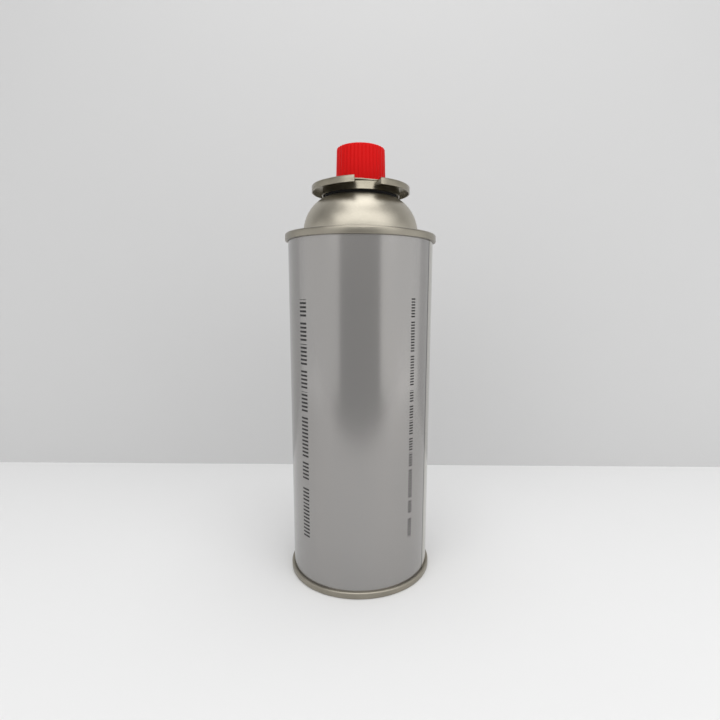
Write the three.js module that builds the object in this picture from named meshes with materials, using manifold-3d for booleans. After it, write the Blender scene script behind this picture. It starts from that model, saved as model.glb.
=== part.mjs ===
// A nozzle-type gas cartridge: a sealed steel can with a domed shoulder, a crimped valve cup,
// a notched locking collar, a valve stem and a ribbed push-on cap.
// Millimetres, +Z up. The origin is the middle of the circle that the can stands on.
import * as THREE from 'three';
import { mergeVertices } from 'three/addons/utils/BufferGeometryUtils.js';
import Module from 'manifold-3d';

const wasm = await Module();
wasm.setup();

// Can body and its rolled seams
const BODY_RADIUS = 32.5;
const SEAM_STAND_OUT = 1.3;
const SEAM_HEIGHT = 3.1;
const SEAM_WIDTH = 1.3;
const SEAM_ROUNDING = 0.5;
const CAN_HEIGHT = 157.9;
const CHUCK_WALL_DEPTH = 4.2;
const CHUCK_WALL_DRAFT = 0.9;
const BASE_DOME_RISE = 5.5;
const WELD_LAP_WIDTH = 1.2;
const WELD_LAP_PROUD = 0.15;
const WELD_AZIMUTH = 58;

// Domed shoulder: one quarter of an ellipse that rises from the groove and rolls over into the neck
const DOME_CENTRE_RADIUS = 10.6;
const DOME_CENTRE_ABOVE_RIM = 0.3;
const DOME_HALF_WIDTH = 15.1;
const DOME_HALF_HEIGHT = 16.7;
const GROOVE_FLOOR = 1.6;

// Neck and its outward curl
const NECK_RADIUS = 14.2;
const NECK_HEIGHT = 1.6;
const CURL_STAND_OUT = 1.2;
const CURL_HEIGHT = 1.7;
const CURL_ROUNDING = 0.35;
const MOUTH_RADIUS = 12.8;

// Valve cup, pressed from one sheet and crimped over the curl
const CLEARANCE = 0.3;
const CUP_SHEET = 0.5;
const CUP_LIP_TUCK = 0.9;
const CUP_WELL_DEPTH = 5.1;
const PEDESTAL_RADIUS = 5.4;
const PEDESTAL_RISE = 6.4;
const HOUSING_DEPTH = 4.1;
const HOUSING_FLOOR = 1.5;

// Valve stem
const STEM_RADIUS = 2.1;
const STEM_TIP_RADIUS = 1.8;
const STEM_STAND_UP = 5.5;
const STEM_TIP_LENGTH = 3.2;
const STEM_STROKE = 1.6;
const SPRING_ROOM = 1.4;
const ORIFICE_RADIUS = 0.7;
const ORIFICE_DEPTH = 5;

// Notched locking collar
const COLLAR_RADIUS = 21.75;
const COLLAR_SHEET = 0.6;
const COLLAR_RIM_DEPTH = 2.7;
const COLLAR_EDGE_ROUNDING = 0.5;
const COLLAR_SKIRT_LENGTH = 2.9;
const NOTCH_HALF_WIDTH = 5.2;
const NOTCH_FLARE = 0.5;

// Push-on cap
const CAP_TOP_RADIUS = 10.6;
const CAP_BAND_RADIUS = 11.2;
const CAP_HEAD_HEIGHT = 16.2;
const CAP_BAND_ABOVE_COLLAR = 2;
const CAP_WALL = 1.1;
const CAP_CROWN = 1.5;
const CAP_ROUNDING = 1.1;
const FLUTE_COUNT = 38;
const FLUTE_DEPTH = 0.28;
const SLEEVE_WALL = 0.9;
const SLEEVE_GRIP = 3.5;

// Facets round the axis
const CAN_FACETS = 56;
const CUP_FACETS = 48;
const COLLAR_FACETS = 56;
const STEM_FACETS = 20;
const FACETS_PER_FLUTE = 2;

// Heights that follow from the sizes above
const SEAM_RADIUS = BODY_RADIUS + SEAM_STAND_OUT;
const domeCentreZ = CAN_HEIGHT + DOME_CENTRE_ABOVE_RIM;
const domeRadius = DOME_CENTRE_RADIUS + DOME_HALF_WIDTH;
const neckAngle = Math.acos((NECK_RADIUS - DOME_CENTRE_RADIUS) / DOME_HALF_WIDTH);
const neckFootZ = domeCentreZ + DOME_HALF_HEIGHT * Math.sin(neckAngle);
const curlFootZ = neckFootZ + NECK_HEIGHT;
const curlTopZ = curlFootZ + CURL_HEIGHT;
const curlRadius = NECK_RADIUS + CURL_STAND_OUT;

const cupTopZ = curlTopZ + CUP_SHEET;
const cupOuterRadius = curlRadius + CLEARANCE + CUP_SHEET;
const cupWellRadius = MOUTH_RADIUS - CLEARANCE - CUP_SHEET;
const cupFloorZ = cupTopZ - CUP_WELL_DEPTH;
const pedestalTopZ = cupFloorZ + PEDESTAL_RISE;
const housingBottomZ = cupFloorZ - CUP_SHEET - HOUSING_DEPTH;
const housingBoreFloorZ = housingBottomZ + HOUSING_FLOOR;
const stemBoreRadius = STEM_RADIUS + CLEARANCE;
const stemBottomZ = housingBoreFloorZ + SPRING_ROOM + STEM_STROKE;

const collarTopZ = cupTopZ + COLLAR_SHEET;
const collarHoleRadius = cupWellRadius + CUP_SHEET;
const skirtInnerRadius = cupOuterRadius + CLEARANCE;
const skirtOuterRadius = skirtInnerRadius + COLLAR_SHEET;

const capTopZ = collarTopZ + CAP_HEAD_HEIGHT;
const capBandTopZ = collarTopZ + CAP_BAND_ABOVE_COLLAR;

const point = (r, z) => new THREE.Vector2(r, z);

// Points along an arc of the section, angles in degrees from the outward direction.
function arc(r, z, radius, from, to, steps) {
  return Array.from({ length: steps + 1 }, (_, i) => {
    const a = THREE.MathUtils.degToRad(from + ((to - from) * i) / steps);
    return point(r + radius * Math.cos(a), z + radius * Math.sin(a));
  });
}

// Points up the shoulder, from the groove to the foot of the neck.
function domeArc(steps) {
  return Array.from({ length: steps + 1 }, (_, i) => {
    const a = (neckAngle * i) / steps;
    const r = DOME_CENTRE_RADIUS + DOME_HALF_WIDTH * Math.cos(a);
    return point(r, domeCentreZ + DOME_HALF_HEIGHT * Math.sin(a));
  });
}

// A solid of revolution about Z from a section that runs round the material counter-clockwise.
function turned(section, facets) {
  return new THREE.LatheGeometry(section, facets).rotateX(Math.PI / 2);
}

function manifoldOf(geometry) {
  const bare = new THREE.BufferGeometry();
  bare.setAttribute('position', geometry.getAttribute('position'));
  bare.setIndex(geometry.index);
  const merged = mergeVertices(bare, 1e-3);
  return new wasm.Manifold(new wasm.Mesh({
    numProp: 3,
    vertProperties: new Float32Array(merged.getAttribute('position').array),
    triVerts: new Uint32Array(merged.index.array),
  }));
}

function geometryOf(manifold) {
  const mesh = manifold.getMesh();
  return new THREE.BufferGeometry()
    .setAttribute('position', new THREE.BufferAttribute(new Float32Array(mesh.vertProperties), 3))
    .setIndex(new THREE.BufferAttribute(new Uint32Array(mesh.triVerts), 1));
}

function named(name, geometry, material) {
  const mesh = new THREE.Mesh(geometry, material);
  mesh.name = name;
  return mesh;
}

// An azimuth is measured from the front, -Y, towards +X.
function turnedToAzimuth(geometry, azimuth) {
  return geometry.rotateZ(THREE.MathUtils.degToRad(azimuth));
}

function canSection() {
  const seamInner = SEAM_RADIUS - SEAM_WIDTH;
  const chuckFoot = seamInner - CHUCK_WALL_DRAFT;
  const domeSphere = (chuckFoot ** 2 + BASE_DOME_RISE ** 2) / (2 * BASE_DOME_RISE);
  const domeHalfAngle = THREE.MathUtils.radToDeg(Math.asin(chuckFoot / domeSphere));
  const centreZ = CHUCK_WALL_DEPTH + BASE_DOME_RISE - domeSphere;
  const grooveZ = CAN_HEIGHT - CHUCK_WALL_DEPTH;
  const round = SEAM_ROUNDING;
  const edge = SEAM_RADIUS - round;
  return [
    ...arc(0, centreZ, domeSphere, 90, 90 - domeHalfAngle, 5),
    point(seamInner - 0.2, round),
    point(seamInner + 0.1, 0),
    ...arc(edge, round, round, -90, 0, 2),
    ...arc(edge, SEAM_HEIGHT - round, round, 0, 60, 2),
    point(BODY_RADIUS, SEAM_HEIGHT),
    point(BODY_RADIUS, CAN_HEIGHT - SEAM_HEIGHT),
    ...arc(edge, CAN_HEIGHT - SEAM_HEIGHT + round, round, -60, 0, 2),
    ...arc(edge, CAN_HEIGHT - round, round, 0, 90, 2),
    point(seamInner + 0.3, CAN_HEIGHT),
    point(seamInner, CAN_HEIGHT - round),
    point(chuckFoot, grooveZ + GROOVE_FLOOR),
    point(chuckFoot - GROOVE_FLOOR, grooveZ),
    point(domeRadius + GROOVE_FLOOR, grooveZ),
    point(domeRadius, grooveZ + GROOVE_FLOOR),
    ...domeArc(9),
    point(NECK_RADIUS, curlFootZ),
    point(curlRadius - CURL_ROUNDING, curlFootZ),
    point(curlRadius, curlFootZ + CURL_ROUNDING),
    point(curlRadius, curlTopZ - CURL_ROUNDING),
    point(curlRadius - CURL_ROUNDING, curlTopZ),
    point(MOUTH_RADIUS, curlTopZ),
    point(MOUTH_RADIUS, cupFloorZ - CUP_SHEET - CLEARANCE),
    point(PEDESTAL_RADIUS + CLEARANCE, cupFloorZ - CUP_SHEET - CLEARANCE),
    point(PEDESTAL_RADIUS + CLEARANCE, housingBottomZ - CLEARANCE),
    point(0, housingBottomZ - CLEARANCE),
  ];
}

// The sealed can: wall, shoulder and base are seamed together for good and can't be seen into.
function can(material) {
  const vessel = manifoldOf(turned(canSection(), CAN_FACETS));
  const lapHeight = CAN_HEIGHT - 2 * SEAM_HEIGHT + 0.4;
  const lapDepth = WELD_LAP_PROUD + 1;
  const lap = new THREE.BoxGeometry(WELD_LAP_WIDTH, lapDepth, lapHeight)
    .translate(0, -(BODY_RADIUS + WELD_LAP_PROUD - lapDepth / 2), CAN_HEIGHT / 2);
  return named('can', geometryOf(vessel.add(manifoldOf(turnedToAzimuth(lap, WELD_AZIMUTH)))), material);
}

function valveCup(material) {
  const outer = cupOuterRadius;
  const inner = outer - CUP_SHEET;
  const wallOuter = cupWellRadius + CUP_SHEET;
  const corner = CUP_SHEET;
  const section = [
    point(0, housingBottomZ),
    point(PEDESTAL_RADIUS, housingBottomZ),
    point(PEDESTAL_RADIUS, cupFloorZ - CUP_SHEET),
    point(wallOuter, cupFloorZ - CUP_SHEET),
    point(wallOuter, curlTopZ),
    point(inner, curlTopZ),
    point(inner, curlFootZ),
    point(inner - CUP_LIP_TUCK, curlFootZ),
    point(inner - CUP_LIP_TUCK, curlFootZ - CUP_SHEET),
    point(outer - corner / 2, curlFootZ - CUP_SHEET),
    point(outer, curlFootZ - corner / 2),
    ...arc(outer - corner, cupTopZ - corner, corner, 0, 90, 3),
    ...arc(cupWellRadius + corner, cupTopZ - corner, corner, 90, 180, 2),
    point(cupWellRadius, cupFloorZ + corner),
    point(cupWellRadius - corner, cupFloorZ),
    point(PEDESTAL_RADIUS + corner, cupFloorZ),
    point(PEDESTAL_RADIUS, cupFloorZ + corner),
    point(PEDESTAL_RADIUS, pedestalTopZ - corner),
    point(PEDESTAL_RADIUS - corner, pedestalTopZ),
    point(stemBoreRadius, pedestalTopZ),
    point(stemBoreRadius, housingBoreFloorZ),
    point(0, housingBoreFloorZ),
  ];
  return named('valve_cup', turned(section, CUP_FACETS), material);
}

function valveStem(material) {
  const tipZ = pedestalTopZ + STEM_STAND_UP;
  const section = [
    point(0, stemBottomZ),
    point(STEM_RADIUS, stemBottomZ),
    point(STEM_RADIUS, tipZ - STEM_TIP_LENGTH),
    point(STEM_TIP_RADIUS, tipZ - STEM_TIP_LENGTH),
    point(STEM_TIP_RADIUS, tipZ - CLEARANCE),
    point(STEM_TIP_RADIUS - CLEARANCE, tipZ),
    point(ORIFICE_RADIUS, tipZ),
    point(ORIFICE_RADIUS, tipZ - ORIFICE_DEPTH),
    point(0, tipZ - ORIFICE_DEPTH),
  ];
  return named('valve_stem', turned(section, STEM_FACETS), material);
}

// A block with the notch's plan, from the root radius outwards, widened by a margin all round.
function notchBlock(margin, bottom, top) {
  const reach = COLLAR_RADIUS + 1 + margin;
  const root = skirtOuterRadius - margin;
  const half = NOTCH_HALF_WIDTH + margin;
  const flare = (NOTCH_FLARE * (reach - root)) / (COLLAR_RADIUS - skirtOuterRadius);
  const plan = new THREE.Shape([
    point(-half, -root), point(-half - flare, -reach), point(half + flare, -reach), point(half, -root),
  ]);
  const block = new THREE.ExtrudeGeometry(plan, { depth: top - bottom, bevelEnabled: false });
  return manifoldOf(block.translate(0, 0, bottom));
}

// The collar: a flat ring with a turned-down rim and a skirt that grips the cup. The notch is open
// from the rim in to the skirt, and the rim's end on its +X side is folded in along the notch.
function collar(material) {
  const rimZ = collarTopZ - COLLAR_RIM_DEPTH;
  const rimInner = COLLAR_RADIUS - COLLAR_SHEET;
  const skirtZ = collarTopZ - COLLAR_SKIRT_LENGTH;
  const round = COLLAR_EDGE_ROUNDING;
  const ring = manifoldOf(turned([
    point(collarHoleRadius, cupTopZ),
    point(skirtInnerRadius, cupTopZ),
    point(skirtInnerRadius, skirtZ),
    point(skirtOuterRadius, skirtZ),
    point(skirtOuterRadius, cupTopZ),
    point(rimInner, cupTopZ),
    point(rimInner, rimZ),
    point(COLLAR_RADIUS - round / 3, rimZ),
    point(COLLAR_RADIUS, rimZ + round / 3),
    ...arc(COLLAR_RADIUS - round, collarTopZ - round, round, 0, 90, 2),
    point(collarHoleRadius, collarTopZ),
    point(collarHoleRadius, cupTopZ),
  ], COLLAR_FACETS));
  const foldZone = manifoldOf(turned([
    point(skirtOuterRadius - CLEARANCE, rimZ),
    point(rimInner + CLEARANCE, rimZ),
    point(rimInner + CLEARANCE, cupTopZ + CLEARANCE),
    point(skirtOuterRadius - CLEARANCE, cupTopZ + CLEARANCE),
    point(skirtOuterRadius - CLEARANCE, rimZ),
  ], COLLAR_FACETS));
  const rightHalf = manifoldOf(new THREE.BoxGeometry(COLLAR_RADIUS, 3 * COLLAR_RADIUS, COLLAR_RIM_DEPTH * 4)
    .translate(COLLAR_RADIUS / 2, 0, rimZ));
  const fold = notchBlock(COLLAR_SHEET, rimZ - 1, collarTopZ + 1).intersect(foldZone).intersect(rightHalf);
  const cut = notchBlock(0, skirtZ - 1, collarTopZ + 1);
  return named('collar', geometryOf(ring.add(fold).subtract(cut)), material);
}

// The cap: one moulding with a fluted wall and an inner sleeve that grips the pedestal.
function cap(material) {
  const bore = CAP_TOP_RADIUS - CAP_WALL;
  const ceilingZ = capTopZ - CAP_CROWN;
  const sleeveInner = PEDESTAL_RADIUS + CLEARANCE;
  const sleeveOuter = sleeveInner + SLEEVE_WALL;
  const sleeveBottomZ = pedestalTopZ - SLEEVE_GRIP;
  const fluteTopZ = capTopZ - CAP_ROUNDING;
  const section = [
    point(0, ceilingZ),
    point(sleeveInner, ceilingZ),
    point(sleeveInner, sleeveBottomZ),
    point(sleeveOuter, sleeveBottomZ),
    point(sleeveOuter, ceilingZ),
    point(bore, ceilingZ),
    point(bore, cupFloorZ),
    point(CAP_BAND_RADIUS, cupFloorZ),
    point(CAP_BAND_RADIUS, capBandTopZ),
    point(CAP_BAND_RADIUS - CLEARANCE, capBandTopZ + CLEARANCE),
    ...arc(CAP_TOP_RADIUS - CAP_ROUNDING, fluteTopZ, CAP_ROUNDING, 0, 90, 3),
    point(0, capTopZ),
  ];
  const geometry = turned(section, FLUTE_COUNT * FACETS_PER_FLUTE);
  const position = geometry.getAttribute('position');
  for (let i = 0; i < position.count; i++) {
    const x = position.getX(i);
    const y = position.getY(i);
    const z = position.getZ(i);
    const r = Math.hypot(x, y);
    const onFlutedWall = r > bore + CAP_WALL / 2 && z > capBandTopZ + CLEARANCE / 2;
    if (!onFlutedWall || z > fluteTopZ + CAP_ROUNDING / 2) continue;
    const wave = 0.5 - 0.5 * Math.cos(FLUTE_COUNT * Math.atan2(y, x));
    const cutRadius = r - FLUTE_DEPTH * wave;
    position.setXYZ(i, (x / r) * cutRadius, (y / r) * cutRadius, z);
  }
  return named('cap', geometry, material);
}

const lacqueredSteel = new THREE.MeshStandardMaterial({ color: 0x9a9a9b, roughness: 0.32, metalness: 0.75 });
const tinplate = new THREE.MeshStandardMaterial({ color: 0xb9b5a8, roughness: 0.36, metalness: 1 });
const rolledSteel = new THREE.MeshStandardMaterial({ color: 0xa9a498, roughness: 0.34, metalness: 1 });
const nozzlePlastic = new THREE.MeshStandardMaterial({ color: 0xe8e6df, roughness: 0.45, metalness: 0 });
const redPlastic = new THREE.MeshStandardMaterial({ color: 0xcf1414, roughness: 0.4, metalness: 0 });

const cartridge = new THREE.Group();
cartridge.add(
  can(lacqueredSteel),
  valveCup(tinplate),
  valveStem(nozzlePlastic),
  collar(rolledSteel),
  cap(redPlastic),
);

export default cartridge;
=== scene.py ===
"""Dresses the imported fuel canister: lacquered wall, pressed tinplate ends, collar and ribbed cap.

Sizes and outlines are in millimetres and become metres in Blender. +Z is up and the notch faces -Y.
Every round piece is drawn as an outline of (radius, height) points and spun about the can's axis.
"""

import math

import bpy
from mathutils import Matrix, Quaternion, Vector


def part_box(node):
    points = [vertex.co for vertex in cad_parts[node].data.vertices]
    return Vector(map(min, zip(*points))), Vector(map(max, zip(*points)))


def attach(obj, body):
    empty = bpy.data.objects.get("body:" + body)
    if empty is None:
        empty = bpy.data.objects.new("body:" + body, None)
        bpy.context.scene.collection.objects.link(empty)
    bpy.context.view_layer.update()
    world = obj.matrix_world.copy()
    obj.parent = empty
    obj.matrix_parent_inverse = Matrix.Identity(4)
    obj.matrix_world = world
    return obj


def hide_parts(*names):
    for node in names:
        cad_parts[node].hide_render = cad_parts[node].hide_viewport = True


MM = 0.001
TURN_STEPS = 192
MERGE_WITHIN = 0.002
CUT_WITHIN = 0.001

# The wall and its rolled seams
WALL_RADIUS = 32.5
WALL_SHEET = 0.3
WALL_TUCK = 1.0
SEAM_RADIUS = 33.8
SEAM_INNER_RADIUS = 32.5
SEAM_INNER_LAP = 0.1
SEAM_HEIGHT = 3.1
SEAM_ROUNDING = 0.75
SEAM_EDGE_ROUNDING = 0.35
CAN_HEIGHT = 157.9

# The groove inside each seam, as deep as the seaming chuck reaches
GROOVE_DEPTH = 4.2
GROOVE_ROUNDING = 1.6
CHUCK_DRAFT = 0.9

# The domed shoulder is part of an ellipse, ended by a straight neck and a curl round the mouth
DOME_CENTRE_RADIUS = 10.6
DOME_CENTRE_Z = 158.2
DOME_HALF_WIDTH = 15.1
DOME_HALF_HEIGHT = 16.7
DOME_STEPS = 32
NECK_RADIUS = 14.2
NECK_LENGTH = 1.6
CURL_RADIUS = 15.4
CURL_ROUNDING = 0.6
CURL_HEIGHT = 2.9
MOUTH_RADIUS = 12.8
END_SHEET = 0.35
END_BELOW_SEAM_TOP = 0.4

# The concave base
BASE_RISE = 5.5
BASE_ABOVE_FLOOR = 0.5
BASE_STEPS = 12
BASE_EDGE_DEGREES = 1.5

# A ring of painted shade, in matt black, which fills the crimp gap above the dome
SHADE_RING_INSET = 1.1
SHADE_RING_ABOVE_DOME = 0.15
SHADE_RING_ABOVE_NECK = 1.0
SHADE_RING_STEPS = 5

# The collar: a flange with a turned-down rim, and the turret that hangs under it
COLLAR_RADIUS = 21.75
COLLAR_MOUTH_RADIUS = 12.6
COLLAR_SHEET = 0.5
COLLAR_LAP = 1.2
FLANGE_OVER_TURRET = 0.05
RIM_DEPTH = 2.7
RIM_ROUNDING = 0.55
RIM_FOLD_LINE = 1.4
TURRET_BELOW_FLANGE = 0.05
TURRET_RADIUS = 17.0
TURRET_SHOULDER = 1.1
TURRET_HEIGHT = 4.0
TURRET_LIP_HEIGHT = 0.9
TURRET_LIP_FLARE = 0.3

# The notch in the collar, with one rim end folded into it and the other flared
NOTCH_HALF_WIDTH = 5.3
NOTCH_FLARE = 0.5
ON_PLANE = 0.01
FOLD_INSIDE_RIM = 1.2
FOLD_BELOW_TOP = 0.4
FOLD_MOVE = Vector((-1.9, 2.3, -0.1))
FOLD_FLATTEN = 0.25
FLARE_INSIDE_RIM = 1.6
FLARE_MOVE = Vector((0.3, -1.1, 0.25))
FLARE_REACH = 11.5

# The cap
CAP_TOP_RADIUS = 10.35
CAP_FOOT_RADIUS = 10.75
CAP_BAND_RADIUS = 11.2
CAP_BAND_ABOVE_COLLAR = 1.6
CAP_BAND_ROUNDING = 0.2
CAP_WALL = 1.1
CAP_ROUNDING = 1.1
CAP_CEILING = 1.5
CAP_CROWN_RISE = 0.08
CAP_CROWN_HALFWAY_RISE = 0.05
SLEEVE_INNER_RADIUS = 5.75
SLEEVE_OUTER_RADIUS = 6.6
SLEEVE_ABOVE_FOOT = 2.9
RIB_COUNT = 38
RIB_HALF_WIDTH = 0.8
RIB_HALF_DEPTH = 0.36
RIB_SINK = 0.1

# The print, as columns of bars: degrees from the notch, width, foot, top and one bar with its gap
PRINT_COLUMNS = (
    (-55.2, 4.4, 23.6, 131.5, 1.7),
    (35.3, 2.3, 24.4, 130.6, 1.2),
)
BARS_IN_GROUP = 6.0
GROUP_LEAST_FILL = 0.66
GROUP_FILL_SPREAD = 0.3

# Patterns: the lacquer's drift of grey, and the tinplate's dull patches and its grain.
# The real grain is about a tenth of a millimetre, drawn coarser here so that it shows.
DRIFT_SIZE = 25
PATCH_SIZE = 11.11
GRAIN_SIZE = 1.111
GRAIN_DEPTH = 0.1
GRAIN_STRENGTH = 0.25
ROUGHNESS_SPREAD = 0.22

# The welded side lap: a dark line, then a strip that the lacquer leaves bare
LAP_DEGREES = 57
LAP_LINE_WIDTH = 1.0
LAP_STRIP_WIDTH = 12.0

# The photograph's camera
CAMERA_PLACE = Vector((-28.1, -223.5, 129.9)) * MM
CAMERA_HEADING = math.radians(9.1)
CAMERA_TILT = math.radians(-9.252)
CAMERA_ROLL = math.radians(0.387)
CAMERA_LENS = 24.01
CAMERA_SHIFT = (-0.0230, 0.0237)

# The studio, measured along the camera's heading from the can's axis
TABLE_FRONT = -275
TABLE_BACK = 140
TABLE_WIDTH = 2400
BACKDROP_HEIGHT = 1200
ROOM_STRENGTH = 0.58

# Softboxes: degrees round from the front, distance, height, sides and radiance
SOFTBOXES = {
    "left_softbox": (-78, 450, 130, (740, 300), 0.47),
    "right_softbox": (62, 450, 130, (740, 300), 0.62),
    "front_softbox": (-3, 420, 455, (1200, 380), 1.6),
    "top_softbox": (0, 60, 640, (400, 360), 2.1),
}
SOFTBOX_AIM = Vector((0, 0, 100))


# Shapes

def arc(r, z, radius, start, end, steps=6):
    """Points round an arc of an outline, with angles in degrees from the outward direction."""
    angles = [math.radians(start + (end - start) * i / steps) for i in range(steps + 1)]
    return [(r + radius * math.cos(a), z + radius * math.sin(a)) for a in angles]


def deselect_all():
    if bpy.context.object and bpy.context.object.mode != "OBJECT":
        bpy.ops.object.mode_set(mode="OBJECT")
    bpy.ops.object.select_all(action="DESELECT")


def turned(name, outline):
    """Draws an outline of (radius, height) points from one vertex and spins it about the can's axis."""
    deselect_all()
    bpy.ops.mesh.primitive_plane_add(size=MM)
    piece = bpy.context.object
    piece.name = name
    bpy.ops.object.mode_set(mode="EDIT")
    bpy.ops.mesh.merge(type="CENTER")
    points = [Vector((r, 0, z)) * MM for r, z in outline]
    bpy.ops.transform.translate(value=points[0])
    here = points[0]
    for point in points[1:]:
        bpy.ops.mesh.extrude_vertices_move(TRANSFORM_OT_translate={"value": point - here})
        here = point
    bpy.ops.mesh.select_all(action="SELECT")
    bpy.ops.mesh.spin(steps=TURN_STEPS, angle=math.tau, center=(0, 0, 0), axis=(0, 0, 1))
    bpy.ops.mesh.select_all(action="SELECT")
    bpy.ops.mesh.remove_doubles(threshold=MERGE_WITHIN * MM)
    bpy.ops.mesh.normals_make_consistent(inside=False)
    bpy.ops.object.mode_set(mode="OBJECT")
    return piece


def give_thickness(piece, sheet):
    """Thickens a pressed sheet inwards, so that the outline stays its outer face."""
    select_only(piece)
    thickness = piece.modifiers.new("sheet", "SOLIDIFY")
    thickness.thickness = sheet * MM
    thickness.offset = -1
    bpy.ops.object.modifier_apply(modifier=thickness.name)


def select_only(*objects):
    deselect_all()
    for each in objects:
        each.select_set(True)
    bpy.context.view_layer.objects.active = objects[0]


def smooth(piece, angle=32):
    select_only(piece)
    bpy.ops.object.shade_smooth_by_angle(angle=math.radians(angle))
    return piece


def select_where(piece, kind, test):
    """Selects the vertices or faces whose middle, in millimetres, passes a test."""
    bpy.ops.object.mode_set(mode="EDIT")
    bpy.ops.mesh.select_mode(type=kind)
    bpy.ops.mesh.select_all(action="DESELECT")
    bpy.ops.object.mode_set(mode="OBJECT")
    mesh = piece.data
    if kind == "VERT":
        for vertex in mesh.vertices:
            vertex.select = test(vertex.co / MM)
    if kind == "FACE":
        for face in mesh.polygons:
            face.select = test(face.center / MM)
    bpy.ops.object.mode_set(mode="EDIT")


def rolled_seam(name, low, high, round_top):
    """A double seam, rolled over the wall. The top one has a sharper lower edge than the base one."""
    soft = SEAM_ROUNDING
    hard = SEAM_EDGE_ROUNDING
    inner = SEAM_INNER_RADIUS - SEAM_INNER_LAP
    if round_top:
        outline = arc(SEAM_RADIUS - hard, low + hard, hard, -90, 0, 3)
    else:
        outline = arc(SEAM_RADIUS - soft, low + soft, soft, -90, 0)
    outline += arc(SEAM_RADIUS - soft, high - soft, soft, 0, 90)
    outline += arc(inner + hard, high - hard, hard, 90, 180, 3)
    outline += arc(inner + hard, low + hard, hard, 180, 270, 3) + [outline[0]]
    return smooth(turned(name, outline))


def make_wall():
    """The can's wall, whose ends run a little way up inside the two seams."""
    inner = WALL_RADIUS - WALL_SHEET
    low = SEAM_HEIGHT - WALL_TUCK
    high = CAN_HEIGHT - SEAM_HEIGHT + WALL_TUCK
    outline = [(WALL_RADIUS, low), (WALL_RADIUS, high), (inner, high), (inner, low), (WALL_RADIUS, low)]
    return smooth(turned("lacquered_wall", outline))


def make_dome():
    """The shoulder: down inside the top seam, round the groove, up the dome and over the curl."""
    wall = SEAM_INNER_RADIUS
    chuck = wall - CHUCK_DRAFT
    soft = GROOVE_ROUNDING
    centre_z = CAN_HEIGHT - GROOVE_DEPTH + soft
    foot = DOME_CENTRE_RADIUS + DOME_HALF_WIDTH
    neck_angle = math.acos((NECK_RADIUS - DOME_CENTRE_RADIUS) / DOME_HALF_WIDTH)
    outline = [(wall, CAN_HEIGHT - END_BELOW_SEAM_TOP), (chuck, centre_z)]
    outline += arc(chuck - soft, centre_z, soft, 0, -90)
    outline += arc(foot + soft, centre_z, soft, 270, 180)
    for step in range(DOME_STEPS + 1):
        a = neck_angle * step / DOME_STEPS
        outline.append((
            DOME_CENTRE_RADIUS + DOME_HALF_WIDTH * math.cos(a),
            DOME_CENTRE_Z + DOME_HALF_HEIGHT * math.sin(a),
        ))
    neck_z = outline[-1][1]
    curl_top = neck_z + CURL_HEIGHT
    outline += [(NECK_RADIUS, neck_z + NECK_LENGTH)]
    outline += arc(CURL_RADIUS - CURL_ROUNDING, curl_top - CURL_ROUNDING, CURL_ROUNDING, -60, 90, 4)
    outline += [(MOUTH_RADIUS, curl_top)]
    dome = turned("dome", outline)
    give_thickness(dome, END_SHEET)
    return smooth(dome)


def make_crimp_shade():
    """A black ring of painted shade in the crimp gap, between the top of the dome and the cup's lip."""
    outer = TURRET_RADIUS - SHADE_RING_INSET
    low = DOME_CENTRE_Z + SHADE_RING_ABOVE_DOME

    def on_dome(r):
        part = (r - DOME_CENTRE_RADIUS) / DOME_HALF_WIDTH
        return (r, low + DOME_HALF_HEIGHT * math.sqrt(1 - part**2))

    high = on_dome(NECK_RADIUS)[1] + SHADE_RING_ABOVE_NECK
    width = outer - NECK_RADIUS
    outline = [on_dome(NECK_RADIUS + width * i / SHADE_RING_STEPS) for i in range(SHADE_RING_STEPS + 1)]
    outline += [(outer, high), (NECK_RADIUS, high), outline[0]]
    return smooth(turned("crimp_shade_ring", outline))


def make_base():
    """The base, domed up into the can and held by the base seam."""
    chuck = SEAM_INNER_RADIUS - CHUCK_DRAFT
    sphere = (chuck**2 + BASE_RISE**2) / (2 * BASE_RISE)
    half_angle = math.degrees(math.asin(chuck / sphere))
    centre_z = GROOVE_DEPTH + BASE_RISE - sphere
    outline = arc(0, centre_z, sphere, 90, 90 - half_angle + BASE_EDGE_DEGREES, BASE_STEPS)
    outline += [(chuck, GROOVE_DEPTH - CHUCK_DRAFT), (SEAM_INNER_RADIUS, BASE_ABOVE_FLOOR)]
    base = turned("base", outline)
    give_thickness(base, END_SHEET)
    return smooth(base)


def make_collar(top):
    """The flange with its turned-down rim and notch, and the turret wall that the notch lays bare."""
    turret_top = top - TURRET_BELOW_FLANGE
    turret_low = top - TURRET_HEIGHT
    shoulder = TURRET_SHOULDER
    turret = turned("collar", [
        (COLLAR_MOUTH_RADIUS, turret_top),
        *arc(TURRET_RADIUS - shoulder, turret_top - shoulder, shoulder, 90, 0),
        (TURRET_RADIUS, turret_low + TURRET_LIP_HEIGHT),
        (TURRET_RADIUS + TURRET_LIP_FLARE, turret_low),
    ])
    give_thickness(turret, COLLAR_SHEET)
    flange = turned("flange", [
        (TURRET_RADIUS - COLLAR_LAP, top),
        (TURRET_RADIUS + FLANGE_OVER_TURRET, top),
        *arc(COLLAR_RADIUS - RIM_ROUNDING, top - RIM_ROUNDING, RIM_ROUNDING, 90, 0),
        (COLLAR_RADIUS, top - RIM_FOLD_LINE),
        (COLLAR_RADIUS, top - RIM_DEPTH),
    ])
    cut_notch(flange)
    fold_rim_end(flange, top)
    flare_rim_end(flange)
    give_thickness(flange, COLLAR_SHEET)
    select_only(turret, flange)
    bpy.ops.object.join()
    return smooth(turret)


def notch_sides():
    """The notch's two side planes, each as a point and an outward normal."""
    rise = COLLAR_RADIUS - TURRET_RADIUS
    planes = []
    for side in (-1, 1):
        place = Vector((side * NOTCH_HALF_WIDTH, -TURRET_RADIUS, 0))
        normal = Vector((side * rise, NOTCH_FLARE, 0)).normalized()
        planes.append((place, normal))
    return planes


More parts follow.
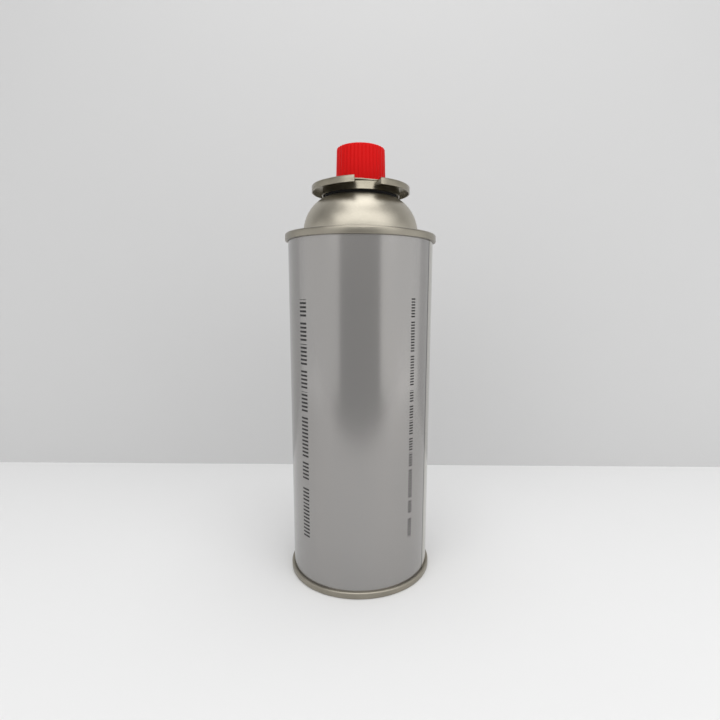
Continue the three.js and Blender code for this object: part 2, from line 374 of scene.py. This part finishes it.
def cut_notch(flange):
    """Cuts the flange along both sides of the notch and deletes the faces between them."""
    sides = notch_sides()
    select_only(flange)
    for place, normal in sides:
        bpy.ops.object.mode_set(mode="EDIT")
        bpy.ops.mesh.select_mode(type="VERT")
        bpy.ops.mesh.select_all(action="SELECT")
        bpy.ops.mesh.bisect(plane_co=place * MM, plane_no=normal, threshold=CUT_WITHIN * MM)
    bpy.ops.object.mode_set(mode="OBJECT")

    def in_notch(co):
        between = all((co - place).dot(normal) < 0 for place, normal in sides)
        return between and co.y < 0 and math.hypot(co.x, co.y) > TURRET_RADIUS

    select_where(flange, "FACE", in_notch)
    bpy.ops.mesh.delete(type="FACE")
    bpy.ops.object.mode_set(mode="OBJECT")


def fold_rim_end(flange, top):
    """The rim's end on the notch's +X side is bent into the notch, low edge furthest."""
    place, normal = notch_sides()[1]

    def on_rim_end(co):
        on_side = abs((co - place).dot(normal)) < ON_PLANE
        return on_side and co.y < FOLD_INSIDE_RIM - COLLAR_RADIUS and co.z < top - FOLD_BELOW_TOP

    select_where(flange, "VERT", on_rim_end)
    bpy.ops.mesh.select_mode(type="EDGE")
    bpy.ops.mesh.extrude_edges_move(TRANSFORM_OT_translate={"value": FOLD_MOVE * MM})
    rim_low = Vector((NOTCH_HALF_WIDTH, -COLLAR_RADIUS, top - RIM_DEPTH))
    foot = rim_low + Vector((FOLD_MOVE.x, FOLD_MOVE.y, 0))
    bpy.ops.transform.resize(value=(1, 1, FOLD_FLATTEN), center_override=foot * MM)
    bpy.ops.object.mode_set(mode="OBJECT")


def flare_rim_end(flange):
    """The rim on the notch's -X side runs straight and stands a little out and up at its end."""
    place, normal = notch_sides()[0]

    def on_rim_end(co):
        on_side = abs((co - place).dot(normal)) < ON_PLANE
        return on_side and co.y < FLARE_INSIDE_RIM - COLLAR_RADIUS

    select_where(flange, "VERT", on_rim_end)
    bpy.ops.transform.translate(
        value=FLARE_MOVE * MM,
        use_proportional_edit=True,
        proportional_edit_falloff="LINEAR",
        proportional_size=FLARE_REACH * MM,
        use_proportional_connected=True,
    )
    bpy.ops.object.mode_set(mode="OBJECT")


def make_cap(foot, collar_top, top):
    """One hollow moulding with a plain band at its foot, and the ribs that the thumb turns."""
    band_top = collar_top + CAP_BAND_ABOVE_COLLAR
    crown = top - CAP_ROUNDING
    ceiling = top - CAP_CEILING
    bore = CAP_TOP_RADIUS - CAP_WALL
    sleeve_foot = foot + SLEEVE_ABOVE_FOOT
    soft = CAP_BAND_ROUNDING
    outline = [
        (0, ceiling),
        (SLEEVE_INNER_RADIUS, ceiling),
        (SLEEVE_INNER_RADIUS, sleeve_foot),
        (SLEEVE_OUTER_RADIUS, sleeve_foot),
        (SLEEVE_OUTER_RADIUS, ceiling),
        (bore, ceiling),
        (bore, foot),
    ]
    outline += arc(CAP_BAND_RADIUS - soft, foot + soft, soft, -90, 0, 3)
    outline += arc(CAP_BAND_RADIUS - soft, band_top - soft, soft, 0, 90, 3)
    outline += [(CAP_FOOT_RADIUS, band_top)]
    outline += arc(CAP_TOP_RADIUS - CAP_ROUNDING, crown, CAP_ROUNDING, 0, 90)
    outline += [(CAP_TOP_RADIUS / 2, top + CAP_CROWN_HALFWAY_RISE), (0, top + CAP_CROWN_RISE)]
    cap = turned("ribbed_cap", outline)
    rib = make_rib(band_top, crown)
    ribs = [turned_copy(rib, i / RIB_COUNT) for i in range(1, RIB_COUNT)]
    select_only(cap, rib, *ribs)
    bpy.ops.object.join()
    return smooth(cap, 40)


def make_rib(low, high):
    """A low round rib that leans with the wall's draft and dies into the crown's rounding."""
    deselect_all()
    centre_radius = (CAP_FOOT_RADIUS + CAP_TOP_RADIUS) / 2 - RIB_SINK
    bpy.ops.mesh.primitive_uv_sphere_add(segments=20, ring_count=10, radius=RIB_HALF_WIDTH * MM)
    rib = bpy.context.object
    rib.scale = (1, RIB_HALF_DEPTH / RIB_HALF_WIDTH, 1)
    bpy.ops.object.transform_apply(location=True, rotation=True, scale=True)
    half = (high - low) / 2
    lean = (CAP_FOOT_RADIUS - CAP_TOP_RADIUS) / 2
    for side in (-1, 1):
        select_where(rib, "VERT", lambda co: co.z * side > ON_PLANE)
        bpy.ops.transform.translate(value=Vector((0, side * lean, side * half)) * MM)
    bpy.ops.mesh.select_all(action="SELECT")
    middle = Vector((0, -centre_radius, (low + high) / 2)) * MM
    bpy.ops.transform.translate(value=middle)
    bpy.ops.object.mode_set(mode="OBJECT")
    return rib


def turned_copy(piece, turns):
    """A copy of a piece with its own mesh, turned about the can's axis by a part of a whole turn."""
    select_only(piece)
    bpy.ops.object.duplicate(linked=False)
    bpy.ops.object.mode_set(mode="EDIT")
    bpy.ops.mesh.select_all(action="SELECT")
    bpy.ops.transform.rotate(value=math.tau * turns, orient_axis="Z", center_override=(0, 0, 0))
    bpy.ops.object.mode_set(mode="OBJECT")
    return bpy.context.object


# Materials

MATH = "ShaderNodeMath"


def linear(colour):
    """An sRGB hex colour as Blender's linear RGBA."""
    channels = [int(colour[i:i + 2], 16) / 255 for i in (1, 3, 5)]
    return [c / 12.92 if c <= 0.04045 else ((c + 0.055) / 1.055) ** 2.4 for c in channels] + [1]


def add_node(tree, kind, inputs=None, **settings):
    """Adds a node with its settings, and gives each input named a value, a socket or another node."""
    node = tree.nodes.new(kind)
    for key, value in settings.items():
        setattr(node, key, value)
    for key, value in (inputs or {}).items():
        if isinstance(value, bpy.types.Node):
            value = value.outputs[0]
        if isinstance(value, bpy.types.NodeSocket):
            tree.links.new(value, node.inputs[key])
        else:
            node.inputs[key].default_value = value
    return node


def new_material(name, **shader):
    """A material with constants on its shader's inputs, named with _ for each space."""
    material = bpy.data.materials.new(name)
    material.use_nodes = True
    tree = material.node_tree
    principled = tree.nodes["Principled BSDF"]
    for key, value in shader.items():
        principled.inputs[key.replace("_", " ")].default_value = value
    return material, tree, principled


def streaks(tree, place, squeeze, size, detail):
    """Soft streaks: noise of a size in millimetres, squeezed by a factor along each axis."""
    drawn = add_node(tree, "ShaderNodeMapping", {"Vector": place, "Scale": squeeze})
    settings = {"Vector": drawn, "Scale": 1 / (size * MM), "Detail": detail}
    return add_node(tree, "ShaderNodeTexNoise", settings)


def painted(tree, ground, layers):
    """A ground colour with other colours laid over it in turn, each by the amount of its mask."""
    colour = linear(ground)
    for mask, over in layers:
        mix = add_node(tree, "ShaderNodeMix", {0: mask, 6: colour, 7: linear(over)}, data_type="RGBA")
        colour = mix.outputs[2]
    return colour


def print_column(tree, around, height, degrees, width, low, high, bar):
    """A column of plain bars up the wall, in groups, where the can carries its small print."""
    centre = math.radians(degrees) * WALL_RADIUS
    in_width = add_node(tree, MATH, {0: around, 1: centre, 2: width / 2}, operation="COMPARE")
    length = {0: height, 1: (low + high) / 2, 2: (high - low) / 2}
    in_length = add_node(tree, MATH, length, operation="COMPARE")
    bars = add_node(tree, MATH, {0: height, 1: bar}, operation="DIVIDE")
    along_bar = add_node(tree, MATH, {0: bars}, operation="FRACT")
    on_bar = add_node(tree, MATH, {0: along_bar, 1: 0.5}, operation="LESS_THAN")
    groups = add_node(tree, MATH, {0: bars, 1: BARS_IN_GROUP}, operation="DIVIDE")
    group = add_node(tree, MATH, {0: groups}, operation="FLOOR")
    chance = add_node(tree, "ShaderNodeTexWhiteNoise", {"W": group}, noise_dimensions="1D")
    fill = {0: chance, 1: GROUP_FILL_SPREAD, 2: GROUP_LEAST_FILL}
    filled = add_node(tree, MATH, fill, operation="MULTIPLY_ADD")
    along_group = add_node(tree, MATH, {0: groups}, operation="FRACT")
    in_group = add_node(tree, MATH, {0: along_group, 1: filled}, operation="LESS_THAN")
    column = add_node(tree, MATH, {0: in_width, 1: in_length}, operation="MULTIPLY")
    barred = add_node(tree, MATH, {0: column, 1: on_bar}, operation="MULTIPLY")
    return add_node(tree, MATH, {0: barred, 1: in_group}, operation="MULTIPLY")


def lacquered_steel():
    """Tinplate under a grey metallic lacquer: soft wide reflections, with a faint drift in its grey."""
    material, tree, shader = new_material(
        "lacquered_steel", Metallic=0.85, Roughness=0.2, Coat_Weight=0.2, Coat_Roughness=0.1
    )
    place = add_node(tree, "ShaderNodeTexCoord").outputs["Object"]
    in_mm = add_node(tree, "ShaderNodeVectorMath", {0: place, "Scale": 1 / MM}, operation="SCALE")
    x, y, z = add_node(tree, "ShaderNodeSeparateXYZ", {0: in_mm}).outputs
    forwards = add_node(tree, MATH, {0: y, 1: -1.0}, operation="MULTIPLY")
    angle = add_node(tree, MATH, {0: x, 1: forwards}, operation="ARCTAN2")
    around = add_node(tree, MATH, {0: angle, 1: WALL_RADIUS}, operation="MULTIPLY")
    lap = math.radians(LAP_DEGREES) * WALL_RADIUS
    half_strip = LAP_STRIP_WIDTH / 2
    strip = add_node(tree, MATH, {0: around, 1: lap + half_strip, 2: half_strip}, operation="COMPARE")
    line = add_node(tree, MATH, {0: around, 1: lap, 2: LAP_LINE_WIDTH / 2}, operation="COMPARE")
    layers = [(streaks(tree, place, (1, 1, 0.3), DRIFT_SIZE, 3), "#a29f9c")]
    layers += [(print_column(tree, around, z, *column), "#262424") for column in PRINT_COLUMNS]
    layers += [(strip, "#b5b2ab"), (line, "#262422")]
    tree.links.new(painted(tree, "#999897", layers), shader.inputs["Base Color"])
    return material


def pressed_tinplate(name, light, dark, roughness, wear):
    """Bare tinplate drawn in a press: a warm grey metal with a fine grain and dull patches."""
    material, tree, shader = new_material(name, Metallic=1.0, Roughness=roughness)
    place = add_node(tree, "ShaderNodeTexCoord").outputs["Object"]
    patches = streaks(tree, place, (1, 1, 1), PATCH_SIZE, 4)
    grain = streaks(tree, place, (1, 1, 2.5), GRAIN_SIZE, 2)
    worn = add_node(tree, MATH, {0: grain, 1: wear}, operation="MULTIPLY")
    colour = painted(tree, dark, [(patches, light), (worn, dark)])
    tree.links.new(colour, shader.inputs["Base Color"])
    spread = {0: patches, 1: ROUGHNESS_SPREAD, 2: roughness - ROUGHNESS_SPREAD / 2}
    rough = add_node(tree, MATH, spread, operation="MULTIPLY_ADD")
    tree.links.new(rough.outputs[0], shader.inputs["Roughness"])
    relief = {"Height": grain, "Strength": GRAIN_STRENGTH, "Distance": GRAIN_DEPTH * MM}
    bump = add_node(tree, "ShaderNodeBump", relief)
    tree.links.new(bump.outputs[0], shader.inputs["Normal"])
    return material


def moulded_plastic(name, colour, roughness):
    """A moulded plastic, or the plain black used as painted shade: one even colour, and a sheen set by
    its roughness.
    """
    material, tree, shader = new_material(name, Roughness=roughness)
    shader.inputs["Base Color"].default_value = linear(colour)
    return material


def dress(piece, material, body, slot, *nodes):
    """Gives a piece its material and body, and hides the CAD nodes that it stands for; its slot is not
    used.
    """
    piece.data.materials.clear()
    piece.data.materials.append(material)
    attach(piece, body)
    if nodes:
        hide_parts(*nodes)


# Studio

def make_lamp(name, azimuth, distance, height, size, radiance):
    """A softbox that faces the can, with its power set by its area and radiance."""
    deselect_all()
    angle = math.radians(azimuth)
    place = Vector((distance * math.sin(angle), -distance * math.cos(angle), height))
    bpy.ops.object.light_add(type="AREA", location=place * MM)
    lamp = bpy.context.object
    lamp.name = name
    lamp.data.shape = "RECTANGLE"
    lamp.data.size, lamp.data.size_y = (side * MM for side in size)
    lamp.data.energy = radiance * math.pi * lamp.data.size * lamp.data.size_y
    lamp.visible_camera = False
    aim = SOFTBOX_AIM * MM - lamp.location
    lamp.rotation_mode = "QUATERNION"
    lamp.rotation_quaternion = aim.to_track_quat("-Z", "Y")


def card(name, size, place, turn, colour):
    """A sheet of matt card for the table or the backdrop, clear to a camera behind it."""
    deselect_all()
    bpy.ops.mesh.primitive_plane_add(size=1)
    sheet = bpy.context.object
    sheet.name = name
    sheet.scale = (size[0] * MM, size[1] * MM, 1)
    sheet.rotation_euler = turn
    sheet.location = Vector(place) * MM
    material, tree, shader = new_material(name, Roughness=0.8, Specular_IOR_Level=0.1)
    shader.inputs["Base Color"].default_value = linear(colour)
    camera_ray = add_node(tree, "ShaderNodeLightPath").outputs["Is Camera Ray"]
    from_behind = add_node(tree, "ShaderNodeNewGeometry").outputs["Backfacing"]
    hidden = add_node(tree, MATH, {0: camera_ray, 1: from_behind}, operation="MULTIPLY")
    clear = add_node(tree, "ShaderNodeBsdfTransparent")
    either = add_node(tree, "ShaderNodeMixShader", {0: hidden, 1: shader, 2: clear})
    tree.links.new(either.outputs[0], tree.nodes["Material Output"].inputs["Surface"])
    sheet.data.materials.append(material)


def make_studio():
    """A white table with a grey backdrop close behind the can, softboxes round it, and a dim room."""
    ahead = Vector((math.sin(CAMERA_HEADING), math.cos(CAMERA_HEADING), 0))
    size = (TABLE_WIDTH, TABLE_BACK - TABLE_FRONT)
    middle = ahead * (TABLE_BACK + TABLE_FRONT) / 2
    card("table", size, middle, (0, 0, -CAMERA_HEADING), "#e8e8e8")
    size = (TABLE_WIDTH, BACKDROP_HEIGHT)
    middle = ahead * TABLE_BACK + Vector((0, 0, BACKDROP_HEIGHT / 2))
    card("backdrop", size, middle, (math.pi / 2, 0, -CAMERA_HEADING), "#cccccc")
    world = bpy.data.worlds.new("studio")
    bpy.context.scene.world = world
    world.use_nodes = True
    tree = world.node_tree
    room = tree.nodes["Background"]
    room.inputs["Color"].default_value = linear("#e6e6e6")
    room.inputs["Strength"].default_value = ROOM_STRENGTH
    seen = add_node(tree, "ShaderNodeBackground", {"Color": linear("#dcdddf"), "Strength": 1.0})
    camera_ray = add_node(tree, "ShaderNodeLightPath").outputs["Is Camera Ray"]
    either = add_node(tree, "ShaderNodeMixShader", {0: camera_ray, 1: room, 2: seen})
    tree.links.new(either.outputs[0], tree.nodes["World Output"].inputs["Surface"])
    for name, placing in SOFTBOXES.items():
        make_lamp(name, *placing)


def make_camera():
    """The camera that was fitted to the photograph's outlines."""
    bpy.ops.object.camera_add(location=CAMERA_PLACE)
    camera = bpy.context.object
    level = math.cos(CAMERA_TILT)
    across = math.sin(CAMERA_HEADING) * level
    ahead = math.cos(CAMERA_HEADING) * level
    look = Vector((across, ahead, math.sin(CAMERA_TILT)))
    camera.rotation_mode = "QUATERNION"
    camera.rotation_quaternion = look.to_track_quat("-Z", "Y") @ Quaternion((0, 0, 1), CAMERA_ROLL)
    camera.data.lens = CAMERA_LENS
    camera.data.sensor_width = 36
    camera.data.shift_x, camera.data.shift_y = CAMERA_SHIFT
    camera.data.clip_start = 0.005
    bpy.context.scene.camera = camera


# The part

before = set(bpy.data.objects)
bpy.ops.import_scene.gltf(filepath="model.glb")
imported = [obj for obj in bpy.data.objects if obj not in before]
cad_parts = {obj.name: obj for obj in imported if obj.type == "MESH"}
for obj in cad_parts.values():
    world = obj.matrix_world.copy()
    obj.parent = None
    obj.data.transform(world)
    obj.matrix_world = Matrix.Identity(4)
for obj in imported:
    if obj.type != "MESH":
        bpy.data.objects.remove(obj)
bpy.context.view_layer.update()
collar_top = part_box("collar")[1].z / MM
cap_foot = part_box("cap")[0].z / MM
cap_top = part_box("cap")[1].z / MM

wall_lacquer = lacquered_steel()

# The ends are drawn tinplate, with a broad soft highlight over the dome
end_tinplate = pressed_tinplate("pressed_tinplate", "#cdc7b9", "#a09a8d", 0.38, 0.45)

# The seams are the same tinplate, drawn darker and a little sharper
seam_tinplate = pressed_tinplate("rolled_tinplate", "#aba597", "#8a857b", 0.33, 0.4)

# The collar is a thicker plated steel, mottled where its plating is rubbed
collar_steel = pressed_tinplate("rubbed_steel", "#bdb7a6", "#847e70", 0.3, 0.6)

# The cap is moulded polyethylene: deep even red with hardly any gloss
red_plastic = moulded_plastic("red_polyethylene", "#cc0505", 0.5)
red_plastic.node_tree.nodes["Principled BSDF"].inputs["Specular IOR Level"].default_value = 0.12

# The stem is moulded acetal: milky white with a slight shine
white_plastic = moulded_plastic("white_acetal", "#e6e4dd", 0.4)

# The crimp ring is painted shade: a matt black that reads as the dark gap under the collar
crimp_shade_black = moulded_plastic("painted_crimp_shade", "#070707", 0.9)

dress(make_wall(), wall_lacquer, "can", "can_lacquer", "can")
dress(make_dome(), end_tinplate, "can", "cup_tinplate", "can")
# A black ring of painted shade, standing in for the shaded gap in the crimp
dress(make_crimp_shade(), crimp_shade_black, "can", "cup_tinplate")
dress(make_base(), end_tinplate, "can", "cup_tinplate", "can")
top_seam = rolled_seam("top_seam", CAN_HEIGHT - SEAM_HEIGHT, CAN_HEIGHT, True)
dress(top_seam, seam_tinplate, "can", "collar_steel", "can")
base_seam = rolled_seam("base_seam", 0, SEAM_HEIGHT, False)
dress(base_seam, seam_tinplate, "can", "collar_steel", "can")
dress(make_collar(collar_top), collar_steel, "can", "collar_steel", "collar")
dress(make_cap(cap_foot, collar_top, cap_top), red_plastic, "cap", "cap_plastic", "cap")

# These two solids show as they are, with a better finish
for node, material in (("valve_cup", end_tinplate), ("valve_stem", white_plastic)):
    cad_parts[node].data.materials.clear()
    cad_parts[node].data.materials.append(material)

make_studio()
make_camera()
bpy.context.scene.view_settings.view_transform = "Standard"
